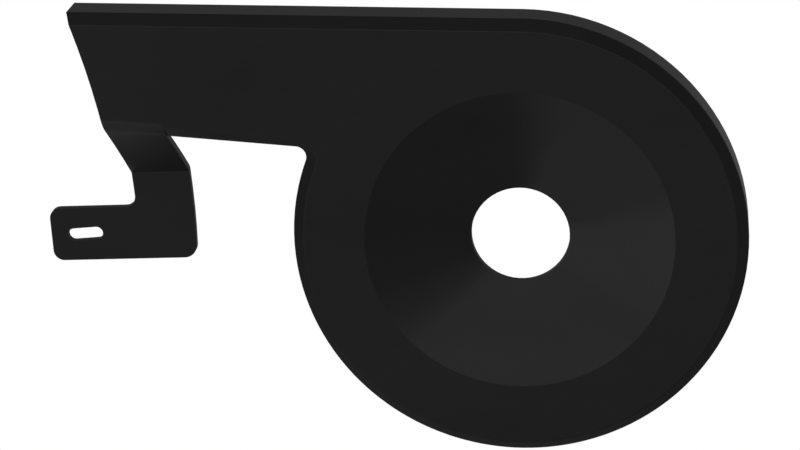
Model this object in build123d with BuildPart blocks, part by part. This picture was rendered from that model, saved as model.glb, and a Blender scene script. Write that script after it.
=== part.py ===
from build123d import *
from math import atan2, cos, degrees, radians, sin, sqrt, tan
import os

# Bicycle chain guard: one moulded shell with a dished disc over the chainring, a tapering arm
# over the upper chain run, and a joggled tab that carries the fixing foot.
# X points forwards, Y inboard and Z up, in millimetres. The origin is on the crank axis,
# level with the outboard rim of the crank hole.

# Shell
wall = 3.0
flange_depth = 18.6
lip_depth = 6.5
bevel_width = 4.3
bevel_depth = 3.6
bevel_edge_radius = 0.8

# Disc, with the dish that clears the crank arm
disc_radius = 92.0
dish_radius = 62.7
dish_depth = 9.6
crank_hole_radius = 20.0

# Arm: the top edge leaves the disc as a tangent, the lower edge passes above the crank axis
arm_top_slope = 2.8
arm_low_slope = 6.6
arm_low_offset = 31.4
arm_disc_fillet = 4.4

# Rear edge: one long arc from the top of the arm to the foot, upright where it is furthest forward
rear_edge_radius = 325.0
rear_edge_x = -162.3
rear_edge_z = 5.1

# Run-out of the flange under the disc, where the lower chain run leaves
runout_front_x = 8.0
runout_rear_x = -22.0

# Joggled tab, whose upper bend follows the arm's lower edge and whose lower bend is level
tab_width = 24.5
bend_inset = 2.5
joggle_depth = 30.0
joggle_angle = 46.3
upper_bend_radius = 8.0
lower_bend_radius = 1.0

# Foot, with an ear to the rear and a fixing slot in it
foot_z = -2.4
foot_height = 23.2
ear_length = 37.5
ear_corner_radius = 4.5
heel_radius = 5.5
ear_inner_radius = 4.6
slot_length = 15.0
slot_width = 5.5
slot_inset = 14.6
slot_tilt = 3.0

# How far cutters and blanks reach past the finished shape, and what counts as nothing when faces are chosen
margin = 10.0
tiny = 0.01

outer_face = Plane.XZ.offset(dish_depth)
behind_face = outer_face.offset(-joggle_depth - wall - margin)
through = joggle_depth + wall + 2 * margin


def along_edge(length, slope):
    """Step of that length to the rear along an edge that rises to the rear by slope degrees."""
    return Vector(-length * cos(radians(slope)), length * sin(radians(slope)))


def above_edge(height, slope):
    """Step of that height square to such an edge."""
    return Vector(height * sin(radians(slope)), height * cos(radians(slope)))


def upper_bend_z(x):
    """Height at x where the arm's face and the tab's slanted part meet, before the bend is rounded."""
    on_bend = above_edge(arm_low_offset + bend_inset, arm_low_slope)
    return on_bend.Y + (on_bend.X - x) * tan(radians(arm_low_slope))


def rear_arc_x(z, inset=0.0):
    """Where the rear edge, or an arc set that far in front of it, stands at height z."""
    centre_x = rear_edge_x - rear_edge_radius
    return centre_x + sqrt((rear_edge_radius + inset) ** 2 - (z - rear_edge_z) ** 2)


def leans_outboard(face):
    """True for a face that looks outboard at a slant, as the bevel does."""
    return tiny - 1 < face.normal_at().Y < -tiny


def follows_outline(edge):
    """True for an edge that keeps one depth."""
    return edge.bounding_box().size.Y < tiny


# Corners of the outline, where the arm leaves the disc and where its blank ends
blank_length = disc_radius - rear_edge_x
top_tangent = above_edge(disc_radius, arm_top_slope)
top_end = top_tangent + along_edge(blank_length, arm_top_slope)
low_chord = sqrt(disc_radius**2 - arm_low_offset**2)
low_corner = above_edge(arm_low_offset, arm_low_slope) + along_edge(low_chord, arm_low_slope)
low_end = low_corner + along_edge(blank_length, arm_low_slope)
tangent_angle = degrees(atan2(top_tangent.Y, top_tangent.X))
corner_angle = degrees(atan2(low_corner.Y, low_corner.X))
arm_mid_z = (top_tangent.Y + low_corner.Y) / 2

# Places along the tab: its lower bend, its overlap with the arm and the foot
lower_bend_z = upper_bend_z(rear_edge_x) - joggle_depth / tan(radians(joggle_angle))
plate_top_z = lower_bend_z - lower_bend_radius
seat_z = upper_bend_z(rear_edge_x) + upper_bend_radius
tab_top_z = seat_z + wall
foot_low_z = foot_z - foot_height / 2
foot_top_z = foot_z + foot_height / 2
ear_end_x = rear_edge_x - ear_length
foot_y = joggle_depth - dish_depth

with BuildPart() as fixing_tab:
    # Joggle, drawn at both ends of its blank: the sheet carries on the arm's face and steps inboard
    tab_front_x = rear_edge_x + tab_width + margin
    for end_x in (ear_end_x, tab_front_x):
        with BuildSketch(Plane.YZ.offset(end_x)):
            with BuildLine():
                FilletPolyline(
                    (-dish_depth, tab_top_z),
                    (-dish_depth, upper_bend_z(end_x)),
                    (foot_y, lower_bend_z),
                    (foot_y, plate_top_z),
                    radius=[upper_bend_radius, lower_bend_radius],
                )
                offset(amount=wall, side=Side.LEFT)
            make_face()
    loft(ruled=True)

    # Plate of the foot, below the joggle
    with BuildSketch(Plane.XZ.offset(-foot_y)):
        with BuildLine():
            Polyline(
                (ear_end_x, foot_low_z),
                (tab_front_x, foot_low_z),
                (tab_front_x, plate_top_z),
                (ear_end_x, plate_top_z),
                close=True,
            )
        make_face()
    extrude(amount=-wall)

    # Trim it to the outline of the tab and the foot
    ear_low = (ear_end_x, foot_low_z)
    ear_top = (ear_end_x, foot_top_z)
    ear_inner = (rear_arc_x(foot_top_z), foot_top_z)
    tab_rear_top = (rear_arc_x(tab_top_z), tab_top_z)
    tab_front_top = (rear_arc_x(tab_top_z, tab_width), tab_top_z)
    heel = (rear_arc_x(foot_low_z, tab_width), foot_low_z)
    with BuildSketch(behind_face) as tab_outline:
        with BuildLine():
            Polyline(heel, ear_low, ear_top, ear_inner)
            RadiusArc(ear_inner, tab_rear_top, -rear_edge_radius)
            Line(tab_rear_top, tab_front_top)
            RadiusArc(tab_front_top, heel, rear_edge_radius + tab_width)
        make_face()
        corners = tab_outline.vertices()
        fillet([corners.sort_by_distance(end)[0] for end in (ear_low, ear_top)], ear_corner_radius)
        fillet(tab_outline.vertices().sort_by_distance(ear_inner)[0], ear_inner_radius)
        fillet(tab_outline.vertices().sort_by_distance(heel)[0], heel_radius)
    extrude(amount=through, mode=Mode.INTERSECT)

    # Fixing slot in the ear
    with BuildSketch(behind_face):
        with Locations((ear_end_x + slot_inset, foot_z)):
            SlotOverall(slot_length, slot_width, rotation=slot_tilt)
    extrude(amount=through, mode=Mode.SUBTRACT)

with BuildPart() as chain_guard:
    # Solid of the outer skin, with the disc and the arm in one outline
    with BuildSketch(outer_face) as outline:
        with BuildLine():
            Line(top_end, top_tangent)
            CenterArc((0, 0), disc_radius, tangent_angle, corner_angle - tangent_angle - 360)
            Polyline(low_corner, low_end, top_end)
        make_face()
        fillet(outline.vertices().sort_by_distance(low_corner)[0], arm_disc_fillet)
    extrude(amount=-flange_depth)

    # Bevel round the outer face, hollow the solid from the inboard side and soften the bevel's edges
    front = chain_guard.faces().sort_by(Axis.Y)[0]
    blank_end = front.edges().sort_by(Axis.X)[0]
    chamfer(front.edges() - [blank_end], bevel_width, bevel_depth, reference=front)
    offset(amount=-wall, openings=chain_guard.faces().sort_by(Axis.Y)[-1])
    bevels = chain_guard.faces().filter_by(leans_outboard)
    fillet(bevels.edges().filter_by(follows_outline), bevel_edge_radius)

    # Leave a short lip under the arm and behind the disc, with a slanted run-out below the disc
    lip_y = lip_depth - dish_depth
    flange_y = flange_depth - dish_depth
    with BuildSketch(Plane.XY.offset(arm_mid_z)):
        with BuildLine():
            Polyline(
                (runout_front_x, flange_y + margin),
                (runout_front_x, flange_y),
                (runout_rear_x, lip_y),
                (low_end.X - margin, lip_y),
                (low_end.X - margin, flange_y + margin),
                close=True,
            )
        make_face()
    extrude(amount=-arm_mid_z - disc_radius - margin, mode=Mode.SUBTRACT)

    # Rear edge
    with BuildSketch(behind_face):
        with Locations((rear_edge_x - rear_edge_radius, rear_edge_z)):
            Circle(rear_edge_radius)
    extrude(amount=through, mode=Mode.SUBTRACT)

    # Seat of the tab, cut out of the arm's lower rim
    seat_front = (rear_arc_x(seat_z, tab_width), seat_z)
    with BuildSketch(behind_face):
        with BuildLine():
            RadiusArc(seat_front, heel, rear_edge_radius + tab_width)
            Polyline(heel, (low_end.X, foot_low_z), (low_end.X, seat_z), seat_front)
        make_face()
    extrude(amount=through, mode=Mode.SUBTRACT)
    add(fixing_tab.part)

    # Dish, turned about the crank axis, and the crank hole
    cone_fall = dish_depth / (dish_radius - crank_hole_radius)
    with BuildSketch(outer_face):
        Circle(dish_radius + wall)
    extrude(amount=-flange_depth, mode=Mode.SUBTRACT)
    with BuildSketch(Plane.XY):
        with BuildLine():
            Polyline(
                (crank_hole_radius - wall, wall * cone_fall),
                (dish_radius, -dish_depth),
                (dish_radius + 2 * wall, -dish_depth),
            )
            offset(amount=wall, side=Side.LEFT)
        make_face()
    revolve(axis=Axis.Y)
    with BuildSketch(behind_face):
        Circle(crank_hole_radius)
    extrude(amount=through, mode=Mode.SUBTRACT)

os.makedirs("parts", exist_ok=True)
chain_guard.part.label = "chain_guard"
export_step(chain_guard.part, "parts/chain_guard.step")
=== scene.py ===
# %% [markdown]
# A bicycle chain guard in satin black plastic.
# The real guard is one injection moulding, so there are no pieces to put together here. What makes
# it look real is its finish, and the light that runs along its flange, its bevel and its dish.
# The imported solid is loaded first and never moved. Every place below is in its frame, in metres:
# X points forwards along the bicycle, Y inboard and Z up, from the middle of the crank hole.

# %% Load the guard
import math

import bmesh
import bpy
from mathutils import Matrix, Vector

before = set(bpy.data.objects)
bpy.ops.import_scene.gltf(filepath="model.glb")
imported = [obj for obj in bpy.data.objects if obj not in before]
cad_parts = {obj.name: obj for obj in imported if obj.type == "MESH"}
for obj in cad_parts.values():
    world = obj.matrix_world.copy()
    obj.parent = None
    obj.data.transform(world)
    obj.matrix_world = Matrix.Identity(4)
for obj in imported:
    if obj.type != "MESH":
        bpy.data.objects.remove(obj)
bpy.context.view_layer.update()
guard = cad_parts["chain_guard"]


print("triangles", len(guard.data.polygons))

# %% [markdown]
# The camera stands about a metre off, a little in front of the crank and above it, with a long
# lens. A long lens keeps the circles of the disc close to true ellipses. The place and the turn
# could be found by eye, but circles of known ratio fix them far better, so these values come from
# matching the ellipses of the rim, the dish and the hole.

# %% Camera
CAMERA_PLACE = (0.081767, -1.015352, 0.359186)
CAMERA_TURN = (70.892, 3.567, 6.100)  # degrees
CAMERA_LENS = 119.64  # millimetres

camera_data = bpy.data.cameras.new("camera")
camera_data.lens = CAMERA_LENS
camera = bpy.data.objects.new("camera", camera_data)
camera.location = CAMERA_PLACE
camera.rotation_euler = [math.radians(angle) for angle in CAMERA_TURN]
bpy.context.scene.collection.objects.link(camera)
bpy.context.scene.camera = camera
print("camera at", CAMERA_PLACE, "with a", CAMERA_LENS, "mm lens")

# %% [markdown]
# A moulding has round surfaces that flow and edges that stay crisp. The loaded mesh is made of flat
# triangles. Smooth shading bends the light across them, and an angle limit keeps the real edges:
# the bend of the tab turns a few degrees from one triangle to the next, and the bevel turns forty.

# %% Smooth shading
CRISP_ANGLE = 20  # degrees

guard.data.shade_smooth()
guard.data.set_sharp_from_angle(angle=math.radians(CRISP_ANGLE))
print("edges sharper than", CRISP_ANGLE, "degrees stay crisp")

# %% [markdown]
# Black plastic is hardly ever one flat colour. The finish here has three parts, each a small node
# group with named inputs and outputs, so that it can be placed in any other plastic with its own
# values. One helper starts such a group, and another adds a node and joins its inputs. Sums and
# ranges are what the groups need most, so those two have helpers that give their result straight.

# %% Helpers for nodes
def start_group(name, inputs, outputs):
    """Make a shader node group with these numbers as inputs and outputs."""
    group = bpy.data.node_groups.new(name, "ShaderNodeTree")
    for title, value in inputs.items():
        socket = group.interface.new_socket(title, in_out="INPUT", socket_type="NodeSocketFloat")
        socket.default_value = value
    for title in outputs:
        group.interface.new_socket(title, in_out="OUTPUT", socket_type="NodeSocketFloat")
    return group, group.nodes.new("NodeGroupInput"), group.nodes.new("NodeGroupOutput")


def add_node(tree, kind, inputs, **settings):
    """Add a node, set its options, and give each input a number or a link."""
    node = tree.nodes.new(kind)
    for option, value in settings.items():
        setattr(node, option, value)
    for key, value in inputs.items():
        if isinstance(value, bpy.types.NodeSocket):
            tree.links.new(value, node.inputs[key])
        else:
            node.inputs[key].default_value = value
    return node


def calculate(tree, operation, *values):
    """Work out one number from others, each a number or a link."""
    return add_node(tree, "ShaderNodeMath", dict(enumerate(values)), operation=operation).outputs[0]


def rescale(tree, value, low, high, start=0.0, end=1.0):
    """Turn a value that runs from start to end into one that runs from low to high."""
    inputs = {"Value": value, "From Min": start, "From Max": end, "To Min": low, "To Max": high}
    return add_node(tree, "ShaderNodeMapRange", inputs).outputs["Result"]


print("helpers ready")

# %% [markdown]
# Grain: the steel of the mould is etched or spark eroded, and the plastic copies its tiny pits.
# Each is a third of a millimetre across, too small to see one by one at arm's length, but together
# they turn a mirror into a satin sheen. Modelling them would take millions of faces, so they are a
# bump: rounded cells from a cellular texture, with a finer noise over them, so that no two are
# alike.

# %% Moulded grain
PITS_PER_METRE = 3000.0
PIT_ROUNDNESS = 0.6
GRIT_FINENESS = 2.3  # times as fine as the pits
GRIT_DETAIL = 2.0
GRIT_SHARE = 0.5


def make_grain():
    """Build the group that gives the height of the moulded pits."""
    inputs = {"Pits per Metre": PITS_PER_METRE}
    group, given, result = start_group("moulded_grain", inputs, ["Height"])
    per_metre = given.outputs["Pits per Metre"]
    place = group.nodes.new("ShaderNodeTexCoord").outputs["Object"]
    pits = add_node(group, "ShaderNodeTexVoronoi",
                    {"Vector": place, "Scale": per_metre, "Smoothness": PIT_ROUNDNESS},
                    feature="SMOOTH_F1").outputs["Distance"]
    finer = calculate(group, "MULTIPLY", per_metre, GRIT_FINENESS)
    grit = add_node(group, "ShaderNodeTexNoise",
                    {"Vector": place, "Scale": finer, "Detail": GRIT_DETAIL}).outputs["Fac"]
    height = calculate(group, "MULTIPLY_ADD", grit, GRIT_SHARE, pits)
    group.links.new(height, result.inputs["Height"])
    return group


grain_group = make_grain()
print(grain_group.name, "nodes", len(grain_group.nodes))

# %% [markdown]
# Flow: hot plastic runs along the mould from where it is let in, and cools unevenly. The sheen
# drifts a little from place to place, in soft patches drawn out along the arm. One noise that is
# stretched along X does for the patches, and a second, finer one keeps them from looking like
# clouds.

# %% Flow of the moulding
PATCHES_PER_METRE = 30.0
PATCH_STRETCH = 0.35  # below 1 draws the patches out along X
PATCH_DETAIL = 3.0
SPECK_FINENESS = 12.0  # times as fine as the patches
SPECK_SHARE = 0.25
DRIFT_START, DRIFT_END = 0.4, 0.85  # what the two noises together range over


def make_flow():
    """Build the group that gives how far the plastic drifts from place to place, 0 to 1."""
    inputs = {"Patches per Metre": PATCHES_PER_METRE, "Stretch": PATCH_STRETCH}
    group, given, result = start_group("moulding_flow", inputs, ["Drift"])
    per_metre = given.outputs["Patches per Metre"]
    place = group.nodes.new("ShaderNodeTexCoord").outputs["Object"]
    along = add_node(group, "ShaderNodeCombineXYZ",
                     {"X": given.outputs["Stretch"], "Y": 1.0, "Z": 1.0}).outputs[0]
    drawn = add_node(group, "ShaderNodeVectorMath", {0: place, 1: along},
                     operation="MULTIPLY").outputs[0]
    patch = add_node(group, "ShaderNodeTexNoise",
                     {"Vector": drawn, "Scale": per_metre, "Detail": PATCH_DETAIL}).outputs["Fac"]
    finer = calculate(group, "MULTIPLY", per_metre, SPECK_FINENESS)
    speck = add_node(group, "ShaderNodeTexNoise", {"Vector": drawn, "Scale": finer}).outputs["Fac"]
    both = calculate(group, "MULTIPLY_ADD", speck, SPECK_SHARE, patch)
    drift = rescale(group, both, 0.0, 1.0, DRIFT_START, DRIFT_END)
    group.links.new(drift, result.inputs["Drift"])
    return group


flow_group = make_flow()
print(flow_group.name, "nodes", len(flow_group.nodes))

# %% [markdown]
# Rubbed edges: a trouser leg, a shoe and a cleaning cloth polish the edges first. An edge is where
# the surface turns within a fraction of a millimetre. The Bevel node looks around each point and
# gives the normal that a rounded edge would have, so the more it differs from the plain normal, the
# nearer is an edge. That works on any mesh, while pointiness would need a dense and even one.

# %% Rubbed edges
RUB_REACH = 0.0006
RUB_SAMPLES = 6
LIKE_FLAT, LIKE_EDGE = 0.995, 0.85  # how alike the two normals are off an edge and on it
RUB_PATCHES_PER_METRE = 90.0
RUB_DETAIL = 4.0


def make_edges():
    """Build the group that gives how far an edge is rubbed, 0 to 1."""
    group, given, result = start_group("rubbed_edges", {"Reach": RUB_REACH}, ["Rubbed"])
    rounded = add_node(group, "ShaderNodeBevel", {"Radius": given.outputs["Reach"]},
                       samples=RUB_SAMPLES).outputs[0]
    plain = group.nodes.new("ShaderNodeNewGeometry").outputs["Normal"]
    alike = add_node(group, "ShaderNodeVectorMath", {0: rounded, 1: plain},
                     operation="DOT_PRODUCT").outputs["Value"]
    edge = rescale(group, alike, 0.0, 1.0, LIKE_FLAT, LIKE_EDGE)
    place = group.nodes.new("ShaderNodeTexCoord").outputs["Object"]
    chance = add_node(group, "ShaderNodeTexNoise",
                      {"Vector": place, "Scale": RUB_PATCHES_PER_METRE, "Detail": RUB_DETAIL})
    patchy = calculate(group, "MULTIPLY", edge, chance.outputs["Fac"])
    group.links.new(patchy, result.inputs["Rubbed"])
    return group


edge_group = make_edges()
print(edge_group.name, "nodes", len(edge_group.nodes))

# %% [markdown]
# The plastic itself. Its pigment is carbon black, so almost all that is seen is what the surface
# mirrors. A plain low specular level would flare at the flange, which is seen at a slant: weak
# reflections grow the most there. A thin coat scales the whole curve down instead, as a matt skin
# with a slight sheen does. What is the same all over is set on the shader itself, and the three
# groups bring what changes from place to place.

# %% Satin black plastic
BODY_SPECULAR = 0.001
SKIN_ROUGHNESS = 0.13

plastic = bpy.data.materials.new("satin_black_plastic")
plastic.use_nodes = True
tree = plastic.node_tree
shader = tree.nodes["Principled BSDF"]
shader.inputs["Specular IOR Level"].default_value = BODY_SPECULAR
shader.inputs["Coat Roughness"].default_value = SKIN_ROUGHNESS

drift = add_node(tree, "ShaderNodeGroup", {}, node_tree=flow_group).outputs["Drift"]
rubbed = add_node(tree, "ShaderNodeGroup", {}, node_tree=edge_group).outputs["Rubbed"]
pits = add_node(tree, "ShaderNodeGroup", {}, node_tree=grain_group).outputs["Height"]
print(plastic.name, "with", grain_group.name, flow_group.name, edge_group.name)

# %% [markdown]
# Pigment and satin: the black runs from deep to slightly grey with the flow, and the satin below
# the skin from smoother to rougher. A rubbed edge is a shade paler and more polished than the rest.

# %% Pigment and satin
DEEP_BLACK, GREY_BLACK = 0.0046, 0.0054
RUBBED_BLACK = 0.003  # added where an edge is rubbed
SMOOTH_SATIN, ROUGH_SATIN = 0.56, 0.64
RUBBED_SATIN = -0.15

shade = rescale(tree, drift, DEEP_BLACK, GREY_BLACK)
worn = calculate(tree, "MULTIPLY_ADD", rubbed, RUBBED_BLACK, shade)
tree.links.new(worn, shader.inputs["Base Color"])

satin = rescale(tree, drift, SMOOTH_SATIN, ROUGH_SATIN)
polish = calculate(tree, "MULTIPLY_ADD", rubbed, RUBBED_SATIN, satin)
tree.links.new(polish, shader.inputs["Roughness"])
print("black", DEEP_BLACK, "to", GREY_BLACK, "roughness", SMOOTH_SATIN, "to", ROUGH_SATIN)

# %% [markdown]
# Skin: the coat stands for the thin smooth skin that plastic gets where it meets the mould. It
# mirrors a little more or less with the flow, more inside a pit than on the ridges between pits,
# and more again at a rubbed edge. The same pits tilt the surface as a bump, a few hundredths of a
# millimetre deep.

# %% Skin and pits
SKIN = 0.094
SKIN_DRIFT = 0.008
SKIN_GRAIN = 0.026
SKIN_RUBBED = 0.02  # added where an edge is rubbed
PIT_START, PIT_END = 0.2, 0.9  # what the height of the pits ranges over
PIT_STRENGTH = 0.3
PIT_DEPTH = 0.00003

skin = rescale(tree, drift, SKIN - SKIN_DRIFT / 2, SKIN + SKIN_DRIFT / 2)
grainy = rescale(tree, pits, SKIN_GRAIN / 2, -SKIN_GRAIN / 2, PIT_START, PIT_END)
uneven = calculate(tree, "ADD", skin, grainy)
shiny = calculate(tree, "MULTIPLY_ADD", rubbed, SKIN_RUBBED, uneven)
tree.links.new(shiny, shader.inputs["Coat Weight"])

bump = add_node(tree, "ShaderNodeBump",
                {"Strength": PIT_STRENGTH, "Distance": PIT_DEPTH, "Height": pits})
tree.links.new(bump.outputs["Normal"], shader.inputs["Normal"])

guard.data.materials.clear()
guard.data.materials.append(plastic)
print(plastic.name, "on", guard.name)

# %% [markdown]
# Floor: the guard hangs free, as a part does in a catalogue, so the floor is a pale round table
# well below it that carries its shadow. A large floor would show its edge against the white behind
# it, so this one ends outside the camera's frame.

# %% Floor
FLOOR_PLACE = (-0.03, -0.06, -0.70)
FLOOR_RADIUS = 0.42
FLOOR_SIDES = 128

floor_mesh = bpy.data.meshes.new("floor")
disc = bmesh.new()
bmesh.ops.create_circle(disc, cap_ends=True, radius=FLOOR_RADIUS, segments=FLOOR_SIDES)
disc.to_mesh(floor_mesh)
disc.free()
floor = bpy.data.objects.new("floor", floor_mesh)
floor.location = FLOOR_PLACE
bpy.context.scene.collection.objects.link(floor)
print("floor at", FLOOR_PLACE, "radius", FLOOR_RADIUS)

# %% [markdown]
# Floor paint: what is looked at, straight or in a reflection, should be white there, and paint that
# bright would take more light on the object too. The Light Path node tells such rays apart, so the
# table glows a little for them alone, and the shadow stays on it.

# %% Floor paint
FLOOR_GREY = (0.82, 0.82, 0.81, 1)
FLOOR_ROUGHNESS = 0.7
FLOOR_GLOW = 0.05
WHITE = (1, 1, 1, 1)


def seen_directly(tree):
    """1 for rays from the camera, from a reflection or through glass, and 0 for the rest."""
    path = tree.nodes.new("ShaderNodeLightPath").outputs
    mirrored = calculate(tree, "MAXIMUM", path["Is Glossy Ray"], path["Is Transmission Ray"])
    return calculate(tree, "MAXIMUM", path["Is Camera Ray"], mirrored)


floor_paint = bpy.data.materials.new("pale_table")
floor_paint.use_nodes = True
tree = floor_paint.node_tree
paint = tree.nodes["Principled BSDF"]
paint.inputs["Base Color"].default_value = FLOOR_GREY
paint.inputs["Roughness"].default_value = FLOOR_ROUGHNESS
paint.inputs["Emission Color"].default_value = WHITE
glow = calculate(tree, "MULTIPLY", seen_directly(tree), FLOOR_GLOW)
tree.links.new(glow, paint.inputs["Emission Strength"])
floor_mesh.materials.append(floor_paint)
print(floor_paint.name, "on", floor.name)

# %% [markdown]
# Studio: the background is plain white, and a shiny surface mirrors that white too. As a source of
# light the same white would flood the black plastic, so the world lights the guard at a lower
# level, and only what is looked at, straight or in a reflection, is white.

# %% White studio
AMBIENT_LEVEL = 0.57

world = bpy.data.worlds.new("studio")
world.use_nodes = True
bpy.context.scene.world = world
tree = world.node_tree
ambient = tree.nodes["Background"]
ambient.inputs["Color"].default_value = WHITE
ambient.inputs["Strength"].default_value = AMBIENT_LEVEL
backdrop = add_node(tree, "ShaderNodeBackground", {"Color": WHITE, "Strength": 1.0})
mix = add_node(tree, "ShaderNodeMixShader",
               {0: seen_directly(tree), 1: ambient.outputs[0], 2: backdrop.outputs[0]})
tree.links.new(mix.outputs[0], tree.nodes["World Output"].inputs["Surface"])
print("ambient", AMBIENT_LEVEL)

# %% [markdown]
# Lamps: black plastic shows the lamps themselves more than the light that they throw. The flat face
# mirrors what stands in front of it and a little lower, and the dish mirrors a ring round that. So
# each lamp is put where the surface that it is meant for mirrors it. A helper gives the way to a
# lamp from two angles, another puts the lamp up, and a third makes a softbox, which is a flat lamp.

# %% Helpers for lamps
def way_to(azimuth, elevation):
    """The way from the guard to a lamp; azimuth 0 is straight in front, positive to the right."""
    turn, rise = math.radians(azimuth), math.radians(elevation)
    reach = math.cos(rise)
    return Vector((math.sin(turn) * reach, -math.cos(turn) * reach, math.sin(rise)))


def hang(lamp_data, place, turn):
    """Put a lamp up in the studio, where the camera doesn't see it."""
    lamp = bpy.data.objects.new(lamp_data.name, lamp_data)
    lamp.matrix_world = Matrix.Translation(place) @ turn.to_4x4()
    lamp.visible_camera = False
    bpy.context.scene.collection.objects.link(lamp)
    print(lamp.name, round(lamp_data.energy, 2), "W at", [round(v, 2) for v in place])
    return lamp


def softbox(name, azimuth, elevation, distance, width, height, watts, roll=0.0):
    """Hang a flat lamp that looks at the guard, its width turned by roll degrees from level."""
    way = way_to(azimuth, elevation)
    level = Vector((0, 0, 1)).cross(way).normalized()
    tilt = math.radians(roll)
    long_side = level * math.cos(tilt) + way.cross(level) * math.sin(tilt)
    lamp_data = bpy.data.lights.new(name, "AREA")
    lamp_data.shape = "RECTANGLE"
    lamp_data.size = width
    lamp_data.size_y = height
    lamp_data.energy = watts
    turn = Matrix((long_side, way.cross(long_side), way)).transposed()
    return hang(lamp_data, way * distance, turn)


print("lamp helpers ready")

# %% [markdown]
# In front, the wide scrim gives the whole face one tone. The main softbox lights the lower part of
# the dish, the left strip the right part, and the low strip the part above that. The main softbox
# and the left strip stand far off, because the edge of a far lamp runs straight across the dish.
# The top softbox is for the upper bevel, and the small fill for the bend at the top of the tab.

# %% Softboxes in front
softbox("wide_scrim", azimuth=-20.2, elevation=-9.3, distance=3.0,
        width=3.14, height=3.43, watts=32.6, roll=49.5)
softbox("main_softbox", azimuth=-4.1, elevation=10.75, distance=6.0,
        width=3.65, height=4.43, watts=122)
softbox("left_strip", azimuth=-26, elevation=-9, distance=6.0,
        width=1.05, height=3.22, watts=29.5)
softbox("low_strip", azimuth=-18.9, elevation=-32.1, distance=2.0,
        width=0.71, height=0.49, watts=1.27, roll=-57.9)
softbox("top_softbox", azimuth=-3, elevation=63, distance=3.0,
        width=2.42, height=1.28, watts=4.0)
softbox("bend_fill", azimuth=-29.2, elevation=-49, distance=1.5,
        width=0.53, height=0.42, watts=0.70)

# %% [markdown]
# The inner side is seen as soon as the guard is turned round, so it gets light too. A lamp straight
# behind would flare in the flange, which mirrors that way at a slant. Two softboxes stand off to
# the sides instead, and one stands low, where the back of the dish mirrors it.

# %% Softboxes behind
for name, azimuth in (("rear_right_softbox", 125), ("rear_left_softbox", -125)):
    softbox(name, azimuth, elevation=8, distance=2.5, width=2.5, height=2.5, watts=49)
softbox("rear_low_softbox", azimuth=180, elevation=-42, distance=2.0,
        width=1.4, height=0.9, watts=12)

# %% [markdown]
# The slanted part of the tab looks down, and what it mirrors is the dark foot below it, so the
# softboxes leave it black. A larger lamp from below would light the lower rim as well. A
# photographer puts a snoot on a lamp, a tube that lets out a narrow beam, and lights that one
# place. The beam comes from almost straight below, so that it only grazes the arm and the foot,
# and it is kept out of reflections, where so small a lamp would glare.

# %% Snoot under the tab
def snoot(name, aim, azimuth, elevation, distance, patch_radius, mouth_radius, watts):
    """Hang a narrow lamp that lights one patch and fades out towards the patch's rim."""
    way = way_to(azimuth, elevation)
    lamp_data = bpy.data.lights.new(name, "SPOT")
    lamp_data.spot_size = 2 * math.atan(patch_radius / distance)
    lamp_data.spot_blend = 1.0
    lamp_data.shadow_soft_size = mouth_radius
    lamp_data.energy = watts
    turn = way.to_track_quat("Z", "Y").to_matrix()
    lamp = hang(lamp_data, Vector(aim) + way * distance, turn)
    lamp.visible_glossy = False
    return lamp


snoot("tab_snoot", aim=(-0.164, -0.006, 0.049), azimuth=-10, elevation=-86, distance=0.62,
      patch_radius=0.034, mouth_radius=0.02, watts=46)

# %% [markdown]
# The plain view transform shows colours as they are written. A finish must not change the part.

# %% Finish
bpy.context.scene.view_settings.view_transform = "Standard"
